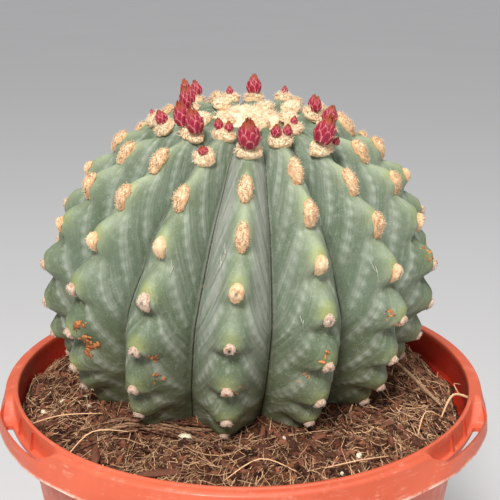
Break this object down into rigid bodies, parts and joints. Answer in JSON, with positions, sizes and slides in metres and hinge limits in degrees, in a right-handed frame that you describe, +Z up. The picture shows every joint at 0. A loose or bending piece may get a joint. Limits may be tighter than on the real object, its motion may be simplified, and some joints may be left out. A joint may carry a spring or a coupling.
{
  "type": "potted round cactus",
  "caption": "Round ribbed cactus with woolly areoles and crimson flower buds at its crown, growing in coir soil in a flared plastic nursery pot with lifting handles.",
  "frame": {"origin": "middle of the pot's underside, on the surface that it stands on", "axes": "+Z up the pot's axis; -Y is the front, towards the side with no lifting handle"},
  "size_m": [0.217, 0.2179, 0.296],
  "materials": {
    "pot_plastic": "satin",
    "coir_soil": "matte",
    "cactus_skin": "satin",
    "areole_wool": "matte",
    "bud_scales": "satin"
  },
  "bodies": {
    "root": {"pot": "pot_plastic", "soil": "coir_soil", "cactus_stem": "cactus_skin", "crown_wool": "areole_wool", "areole_pad_01": "areole_wool", "areole_pad_02": "areole_wool", "areole_pad_03": "areole_wool", "areole_pad_04": "areole_wool", "areole_pad_05": "areole_wool", "areole_pad_06": "areole_wool", "areole_pad_07": "areole_wool", "areole_pad_08": "areole_wool", "areole_pad_09": "areole_wool", "areole_pad_10": "areole_wool", "areole_pad_11": "areole_wool", "areole_pad_12": "areole_wool", "areole_pad_13": "areole_wool", "areole_pad_14": "areole_wool", "areole_pad_15": "areole_wool", "areole_pad_16": "areole_wool", "areole_pad_17": "areole_wool", "areole_pad_18": "areole_wool", "areole_pad_19": "areole_wool", "areole_pad_20": "areole_wool", "areole_pad_21": "areole_wool", "areole_pad_22": "areole_wool", "areole_pad_23": "areole_wool", "areole_pad_24": "areole_wool", "areole_pad_25": "areole_wool", "areole_pad_26": "areole_wool", "areole_pad_27": "areole_wool", "areole_pad_28": "areole_wool", "flower_bud_01": "bud_scales", "flower_bud_02": "bud_scales", "flower_bud_03": "bud_scales", "flower_bud_04": "bud_scales", "flower_bud_05": "bud_scales", "flower_bud_06": "bud_scales", "flower_bud_07": "bud_scales", "flower_bud_08": "bud_scales", "flower_bud_09": "bud_scales", "flower_bud_10": "bud_scales", "flower_bud_11": "bud_scales", "flower_bud_12": "bud_scales", "flower_bud_13": "bud_scales", "flower_bud_14": "bud_scales", "flower_bud_15": "bud_scales", "flower_bud_16": "bud_scales", "flower_bud_17": "bud_scales", "flower_bud_18": "bud_scales", "flower_bud_19": "bud_scales", "flower_bud_20": "bud_scales", "flower_bud_21": "bud_scales", "flower_bud_22": "bud_scales", "flower_bud_23": "bud_scales"}
  },
  "joints": []
}
